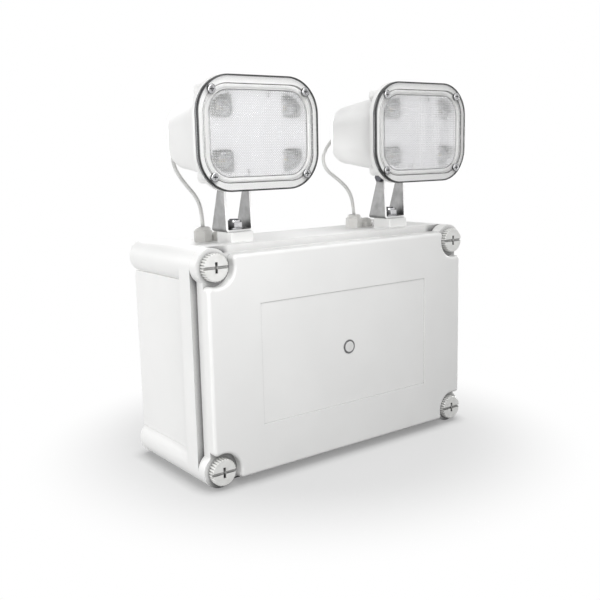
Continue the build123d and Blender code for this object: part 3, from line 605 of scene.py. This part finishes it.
def outlineMask(tree, place, middle, line):
    # One along a rounded rectangle. How far a point is past the corner's centre, sideways
    # and up, gives its distance from there, which on the outline is the corner's radius.
    inner = (line["width"] / 2 - line["corner"], 0, line["height"] / 2 - line["corner"])
    value = place.outputs["Object"]
    for step, by in (("ABSOLUTE", None), ("MULTIPLY", (1, 0, 1)), ("SUBTRACT", middle),
                     ("ABSOLUTE", None), ("SUBTRACT", inner), ("MAXIMUM", (0, 0, 0))):
        settings = {"operation": step} if by is None else {"operation": step, 1: by}
        value = addNode(tree, "VectorMath", settings, {0: value}).outputs["Vector"]
    far = addNode(tree, "VectorMath", {"operation": "LENGTH"}, {0: value})
    off = mathOf(tree, "SUBTRACT", far.outputs["Value"], line["corner"])
    outer, inner = line["thick"] / 2, line["thick"] * lineCore
    return addNode(
        tree, "MapRange", {"From Min": outer, "From Max": inner, "To Max": line["share"]},
        {"Value": mathOf(tree, "ABSOLUTE", off)},
    ).outputs[0]


# How squarely the surface faces front or back decides where it looks clear, takes painted lines and
# shade, or is turned away
clearShape = {
    "faceAt": 0.985, "hazeMm": 12, "less": 0.6, "more": 1.4, "edgeRough": 0.35,
    "frontFrom": 0.02, "frontFull": 0.15, "sideFrom": 0.97, "sideFull": 0.75,
}


def clearPlastic(name, look):
    made, tree = newMaterial(name)
    place = addNode(tree, "TexCoord")
    flat = facingFront(tree, place)
    # The rim colour is painted shade, greying faces that turn away from the front
    colour = colourBetween(
        tree, flat, look["rim"], look["face"], look["rimTo"], clearShape["faceAt"],
    )
    haze = noiseAt(tree, place, clearShape["hazeMm"])
    low, high = (look["roughness"] * clearShape[end] for end in ("less", "more"))
    rough = valueBetween(tree, haze.outputs["Fac"], low, high)
    glass = addNode(
        tree, "BsdfPrincipled", {"Transmission Weight": 1.0, "IOR": look["ior"]},
        {"Base Color": colour.outputs[0], "Roughness": rough.outputs[0]},
    )
    # Painted edges stand in for light the edges turn away: dark lines along the outlines of a cover,
    # or a white painted highlight all round on an optic
    edge = addNode(
        tree, "BsdfPrincipled",
        {"Base Color": linear(look["edge"]), "Roughness": clearShape["edgeRough"]},
    )
    if "lines" in look:
        marks = [outlineMask(tree, place, look["middle"], line) for line in look["lines"]]
        paintedEdge = marks[0]
        for mark in marks[1:]:
            paintedEdge = mathOf(tree, "MAXIMUM", paintedEdge, mark)
        front = addNode(
            tree, "MapRange",
            {"From Min": clearShape["frontFrom"], "From Max": clearShape["frontFull"]},
            {"Value": flat},
        )
        paintedEdge = mathOf(tree, "MULTIPLY", paintedEdge, front.outputs[0])
    else:
        paintedEdge = addNode(
            tree, "MapRange",
            {"From Min": clearShape["sideFrom"], "From Max": clearShape["sideFull"],
             "To Max": look["paintedEdgeShare"]},
            {"Value": flat},
        ).outputs[0]
    glass = addNode(tree, "MixShader", links={0: paintedEdge, 1: glass.outputs[0], 2: edge.outputs[0]})
    through = addNode(tree, "BsdfTransparent", links={"Color": colour.outputs[0]})
    passLight(tree, glass, through)
    return made


dress(clearPlastic("clear polycarbonate", clearCover), *bothSides("lens_cover"))

# Optics over the LEDs: flared acrylic lenses with a dimple in front and a hollow over the chip.
# They give the eye round cups with a white painted highlight on their turned-away sides and a clear
# middle.
opticLook = {
    "rim": "#f4f6f7", "face": "#fdfdfd", "rimTo": 0.3, "roughness": 0.03, "ior": 1.49,
    "edge": "#ffffff", "paintedEdgeShare": 0.9,
}
acrylic = clearPlastic("clear acrylic", opticLook)
optic = {
    "profile": [
        (0, 2.05), (3.4, 2.05), (3.4, 0.08), (4.6, 0.08), (5.4, 3.2), (6.1, 6.4), (6.2, 7.3),
        (5.9, 7.8), (4.6, 7.95), (3.2, 7.7), (1.8, 7.1), (0.8, 6.75), (0, 6.7),
    ],
    "board": 0.113, "across": 0.031, "up": 0.0203, "middle": 0.1885, "sides": 40,
}


def fourOf(points, faces, middle, look):
    # The same form at each corner of the head, set off sideways and up from its middle
    corners = [(sx, 0, sz) for sx in (-1, 1) for sz in (-1, 1)]
    places = np.array(corners) * (look["across"], 0, look["up"]) + (middle, 0, look["middle"])
    moved = points[None] + places[:, None]
    copied = faces[None] + (np.arange(4) * len(points))[:, None, None]
    return moved.reshape(-1, 3), copied.reshape(-1, faces.shape[1])


def ledOptics(side, middle, look):
    # The profile is in millimetres: how far out, then how far in front of the board
    profile = np.array(look["profile"]) / 1000 * (1, -1) - (0, look["board"])
    points, faces = spun(profile, look["sides"])
    piece = meshPiece("led_optic_lenses_" + side, *fourOf(points, faces, middle, look))
    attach(piece, "head_" + side)
    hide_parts("led_optics_" + side)
    piece.data.materials.append(acrylic)


for side, middle in heads.items():
    ledOptics(side, middle, optic)

# Prismatic acrylic film inside each window: two crossed sets of small ridges, drawn coarser than
# the real ones. It gives the eye a milky, finely dotted veil over the reflector and the LEDs.
film = {
    "width": 0.0922, "height": 0.0662, "corner": 0.0176, "front": -0.12372, "sheet": 0.0002,
    "ridge": 0.0004, "pitch": 0.0019, "steps": 4, "middle": 0.1885,
    "colour": "#fcfcfd", "roughness": 0.04, "dotMm": 2.1, "milky": (0.08, 0.75),
    "ior": 1.49, "hazeMm": 20, "less": 0.5, "more": 1.5,
}


def filmSheet(side, middle, look):
    # Rows run up the window and each is as wide as the rounded outline is there.
    # The back rises and falls with the distance from the nearest ridge line each way.
    columns = int(look["width"] / look["pitch"] * look["steps"]) + 1
    rows = int(look["height"] / look["pitch"] * look["steps"]) + 1
    up = np.linspace(-1, 1, rows)[:, None] * look["height"] / 2
    past = np.maximum(np.abs(up) - (look["height"] / 2 - look["corner"]), 0)
    half = look["width"] / 2 - look["corner"] + np.sqrt(np.maximum(look["corner"] ** 2 - past**2, 0))
    across = np.linspace(-1, 1, columns)[None, :] * half
    wave = np.abs((across / look["pitch"]) % 1 - 0.5) + np.abs((up / look["pitch"]) % 1 - 0.5)
    height = up + 0 * across
    front = np.stack((across + middle, 0 * height + look["front"], height + look["middle"]), axis=-1)
    back = front.copy()
    back[..., 1] += look["sheet"] + look["ridge"] * wave
    faces = gridFaces(rows, columns)
    # The rim's points in turn: along the bottom, up the right, back along the top, down the left
    edge = np.concatenate((
        np.arange(columns), np.arange(2 * columns - 1, rows * columns, columns),
        np.arange(rows * columns - 2, (rows - 1) * columns - 1, -1),
        np.arange((rows - 2) * columns, 0, -columns),
    ))
    after = np.roll(edge, -1)
    offset = rows * columns
    rim = np.stack((edge + offset, after + offset, after, edge), axis=-1)
    faces = np.concatenate((faces, faces[:, ::-1] + offset, rim))
    points = np.concatenate((front.reshape(-1, 3), back.reshape(-1, 3)))
    piece = meshPiece("window_film_" + side, points, faces, smooth=False)
    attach(piece, "head_" + side)
    return piece


def filmPlastic(look):
    made, tree = newMaterial("prismatic film")
    place = addNode(tree, "TexCoord")
    haze = noiseAt(tree, place, look["hazeMm"])
    low, high = (look["roughness"] * look[end] for end in ("less", "more"))
    rough = valueBetween(tree, haze.outputs["Fac"], low, high)
    glass = addNode(
        tree, "BsdfPrincipled",
        {"Base Color": linear(look["colour"]), "Transmission Weight": 1.0, "IOR": look["ior"]},
        {"Roughness": rough.outputs[0]},
    )
    soft = addNode(tree, "BsdfTranslucent", {"Color": linear(look["colour"])})
    # The top of each prism is flattened and passes a milky light; it shows against dark places
    clear, milky = look["milky"]
    tops = addNode(
        tree, "MapRange",
        {"From Min": dotSize["rim"], "From Max": dotSize["core"], "To Min": clear, "To Max": milky},
        {"Value": dotCells(tree, place, look)},
    )
    misty = addNode(
        tree, "MixShader", links={0: tops.outputs[0], 1: glass.outputs[0], 2: soft.outputs[0]},
    )
    passLight(tree, misty, addNode(tree, "BsdfTransparent", {"Color": linear(look["colour"])}))
    return made


filmClear = filmPlastic(film)
for side, middle in heads.items():
    filmSheet(side, middle, film).data.materials.append(filmClear)
print("lenses are made")

# LED boards: white solder mask. Behind the film it reads as a dotted grey patch in each corner.
boardLook = dict(
    boxPlastic, colour="#c9c9c4", shade="#bcbcb7", roughness=0.45, grainMm=1.5, edgeMm=0.1,
    alone=True, dotMm=2.1, dot="#8b8b8c",
)
dress(mouldedPlastic("white solder mask", boardLook), *bothSides("led_board"))
phosphor = {
    "radius": 0.0014, "rise": 0.0005, "depth": -0.11405, "across": 0.031, "up": 0.0203,
    "middle": 0.1885, "rings": 8, "sides": 24,
}


def phosphorDomes(side, middle, look):
    # Each dome is a flattened half ball: radius times sine, rise times cosine, closed behind
    tilt = np.linspace(0, np.pi / 2, look["rings"])
    out, front = look["radius"] * np.sin(tilt), look["depth"] - look["rise"] * np.cos(tilt)
    dome = np.stack((out, front), axis=-1)
    profile = np.concatenate((dome, [(0, look["depth"])]))
    points, faces = spun(profile, look["sides"])
    piece = meshPiece("led_phosphor_" + side, *fourOf(points, faces, middle, look))
    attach(piece, "head_" + side)
    return piece


# Phosphor domes: silicone filled with yellow powder, a warm speck in the middle of each cup
phosphorLook = dict(
    boxPlastic, colour="#e8cf62", shade="#dcbf4a", roughness=0.35, cloudMm=2, edgeMm=0.05, alone=True,
)
phosphorYellow = mouldedPlastic("phosphor", phosphorLook)
for side, middle in heads.items():
    phosphorDomes(side, middle, phosphor).data.materials.append(phosphorYellow)

# Inside the enclosure, hidden by the lid: each part in its usual plain colour
insideLooks = {
    "gear_tray": (
        "powder coated tray", dict(boxPlastic, colour="#c9c9c6", shade="#c0c0bd", grainMm=1.2),
    ),
    "battery_pack": ("black ABS case", dict(boxPlastic, colour="#2b2c2e", shade="#232426")),
    "control_board": ("green solder mask", dict(boxPlastic, colour="#1f5a35", shade="#18482a")),
    "relay": ("blue relay case", dict(boxPlastic, colour="#2c3f86", shade="#253672")),
    "capacitors": ("capacitor sleeve", dict(boxPlastic, colour="#24283c", shade="#1c2031")),
    "terminal_block": ("grey polyamide", dict(boxPlastic, colour="#8a8e90", shade="#7d8183")),
    "fuse_holder": ("fuse holder", dict(boxPlastic, colour="#c9c3b0", shade="#bbb5a2")),
    "transformer": (
        "varnished core", dict(boxPlastic, colour="#4a3f38", shade="#3b322d", grainMm=0.8),
    ),
    "test_switch": ("black switch", dict(boxPlastic, colour="#242426", shade="#1c1c1e")),
}
for name, (title, look) in insideLooks.items():
    dress(mouldedPlastic(title, look), name)
print("inner parts are dressed")


# Pale studio floor of matt paper that fades into white further out. It gives the eye a soft grey
# pool of shade round the object, with painted contact shade close under it, and nothing beyond it.
floorLook = {
    "size": 30.0, "height": -0.1, "colour": "#9c9c9c", "middle": (0, -0.06, -0.1), "whiteFrom": 0.12,
    "whiteTo": 0.27, "leastWhite": 0.62, "contactShadeMm": 15, "contactShade": 0.4, "closedAt": 0.4,
    "openAt": 0.95,
}


def whereSeen(tree):
    # One where the picture, a reflection or clear plastic shows the surface itself
    path = addNode(tree, "LightPath")
    shown, bent = path.outputs["Is Camera Ray"], path.outputs["Is Transmission Ray"]
    return mathOf(tree, "MAXIMUM", mathOf(tree, "MAXIMUM", shown, bent), path.outputs["Is Glossy Ray"])


def makeFloor(look):
    half = look["size"] / 2
    points = np.array([(-half, -half, look["height"]), (half, -half, look["height"]),
                       (half, half, look["height"]), (-half, half, look["height"])])
    floor = meshPiece("floor", points, np.array([[0, 1, 2, 3]]), smooth=False)
    made, tree = newMaterial("pale floor")
    place = addNode(tree, "TexCoord")
    distance = addNode(
        tree, "VectorMath", {"operation": "DISTANCE", 1: look["middle"]},
        {0: place.outputs["Object"]},
    )
    fade = addNode(
        tree, "MapRange",
        {"interpolation_type": "SMOOTHSTEP", "From Min": look["whiteFrom"],
         "From Max": look["whiteTo"], "To Min": look["leastWhite"]},
        {"Value": distance.outputs["Value"]},
    )
    matt = addNode(tree, "BsdfDiffuse", {"Color": linear(look["colour"])})
    white = addNode(tree, "Emission", {"Color": (1, 1, 1, 1), "Strength": 1.0})
    # Painted contact shade: close under the object, where it is closed in, less white shows and the
    # floor keeps its own shade
    closed = addNode(
        tree, "AmbientOcclusion", {"samples": cornerRays, "Distance": look["contactShadeMm"] / 1000},
    )
    light = addNode(
        tree, "MapRange",
        {"From Min": look["closedAt"], "From Max": look["openAt"], "To Min": look["contactShade"]},
        {"Value": closed.outputs["AO"]},
    )
    pale = mathOf(tree, "MULTIPLY", fade.outputs[0], light.outputs[0])
    share = mathOf(tree, "MULTIPLY", pale, whereSeen(tree))
    mixed = addNode(tree, "MixShader", links={0: share, 1: matt.outputs[0], 2: white.outputs[0]})
    finishWith(tree, mixed)
    floor.data.materials.append(made)


makeFloor(floorLook)

# White surround: full white where it is seen, softer as light
surround = {"light": 0.13}
world = bpy.data.worlds.new("studio")
scene.world = world
world.use_nodes = True
world.node_tree.nodes.clear()
tree = world.node_tree
strength = valueBetween(tree, whereSeen(tree), surround["light"], 1.0)
glow = addNode(tree, "Background", {"Color": (1, 1, 1, 1)}, {"Strength": strength.outputs[0]})
addNode(tree, "OutputWorld", links={"Surface": glow.outputs[0]})

# Soft boxes round the object, all aimed at its middle
lampAim = (0, -0.06, 0.05)
lights = {
    "front": {"place": (-0.24, -0.66, 0.34), "size": 0.3, "power": 1.9},
    "over": {"place": (-0.08, -0.45, 0.52), "size": 0.25, "power": 0.85},
    "left": {"place": (-0.8, -0.02, 0.0), "size": 0.2, "power": 1.7},
    "behind": {"place": (-0.7, 0.45, 0.3), "size": 0.3, "power": 1.6},
    "fill": {"place": (-0.85, -0.95, 0.2), "size": 0.4, "power": 2.8},
    "right": {"place": (0.95, 0.0, 0.12), "size": 0.4, "power": 4.0},
    "rear": {"place": (0.2, 1.0, 0.3), "size": 0.5, "power": 4.2},
    "top": {"place": (0.05, -0.15, 0.98), "size": 0.7, "power": 1.9},
}
for name, look in lights.items():
    data = bpy.data.lights.new(name, "AREA")
    data.shape = "DISK"
    data.size = look["size"]
    data.energy = look["power"]
    lamp = bpy.data.objects.new(name, data)
    aim = Vector(lampAim) - Vector(look["place"])
    turn = aim.to_track_quat("-Z", "Y").to_matrix().to_4x4()
    lamp.matrix_world = Matrix.Translation(look["place"]) @ turn
    scene.collection.objects.link(lamp)
print("studio is lit")
